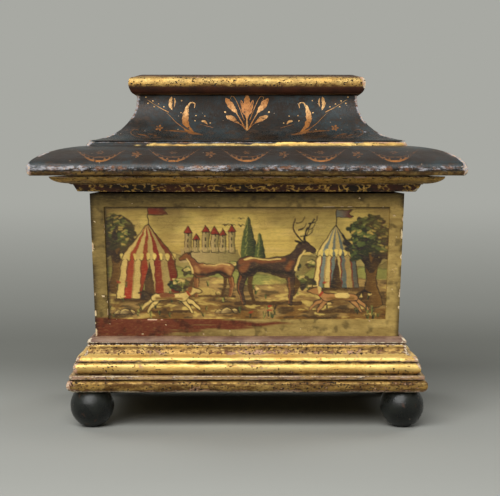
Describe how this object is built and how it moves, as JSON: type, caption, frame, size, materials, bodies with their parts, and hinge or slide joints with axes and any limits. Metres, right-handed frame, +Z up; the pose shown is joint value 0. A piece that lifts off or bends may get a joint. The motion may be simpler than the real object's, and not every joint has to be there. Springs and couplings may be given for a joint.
{
  "type": "painted casket",
  "caption": "Rectangular table casket with tapering painted walls, moulded gilt plinth, ball feet and a broad coved lid on back hinges; holds small valuables.",
  "frame": {"origin": "on the table under the middle of the casket", "axes": "+X to the right along the front, -Y out of the front, +Z up"},
  "size_m": [0.3, 0.236, 0.2508],
  "materials": {
    "gilded_wood": "worn gold leaf on red bole over gesso",
    "dark_painted_wood": "blue-black paint with gilt ornament, satin",
    "picture_paint": "varnished paint on gesso, crackled",
    "violet_paint": "worn purple-grey paint",
    "ebonised_wood": "black stain, waxed",
    "bare_wood": "planed, aged, unfinished",
    "hinge_brass": "aged",
    "nail_iron": "forged, oxidised"
  },
  "bodies": {
    "case": {"base_board": "gilded_wood", "plinth_front": "gilded_wood", "plinth_right": "gilded_wood", "plinth_back": "gilded_wood", "plinth_left": "gilded_wood", "bead_front": "violet_paint", "bead_right": "violet_paint", "bead_back": "violet_paint", "bead_left": "violet_paint", "front_board": "picture_paint", "right_board": "picture_paint", "back_board": "picture_paint", "left_board": "picture_paint", "floor_board": "bare_wood", "foot_front_left": "ebonised_wood", "foot_front_right": "ebonised_wood", "foot_back_left": "ebonised_wood", "foot_back_right": "ebonised_wood", "base_nail_front_left": "nail_iron", "base_nail_front_right": "nail_iron", "base_nail_back_left": "nail_iron", "base_nail_back_right": "nail_iron", "base_nail_left": "nail_iron", "base_nail_right": "nail_iron", "case_hinge_leaf_left": "hinge_brass", "case_hinge_leaf_right": "hinge_brass", "hinge_pin_left": "hinge_brass", "hinge_pin_right": "hinge_brass", "case_screw_left_outer": "hinge_brass", "case_screw_left_inner": "hinge_brass", "case_screw_right_outer": "hinge_brass", "case_screw_right_inner": "hinge_brass"},
    "lid": {"lid_hinge_leaf_left": "hinge_brass", "lid_hinge_leaf_right": "hinge_brass", "lid_screw_left_outer": "hinge_brass", "lid_screw_left_inner": "hinge_brass", "lid_screw_right_outer": "hinge_brass", "lid_screw_right_inner": "hinge_brass", "lid_soffit_front": "gilded_wood", "lid_soffit_right": "gilded_wood", "lid_soffit_back": "gilded_wood", "lid_soffit_left": "gilded_wood", "lid_cornice_front": "dark_painted_wood", "lid_cornice_right": "dark_painted_wood", "lid_cornice_back": "dark_painted_wood", "lid_cornice_left": "dark_painted_wood", "lid_cove_front": "dark_painted_wood", "lid_cove_right": "dark_painted_wood", "lid_cove_back": "dark_painted_wood", "lid_cove_left": "dark_painted_wood", "lid_top": "gilded_wood"}
  },
  "joints": [
    {"name": "lid_hinge", "type": "hinge", "parent": "case", "child": "lid", "pos_m": [0, 0.0812, 0.1658], "axis": [-1, 0, 0], "range_deg": [0, 112]}
  ]
}
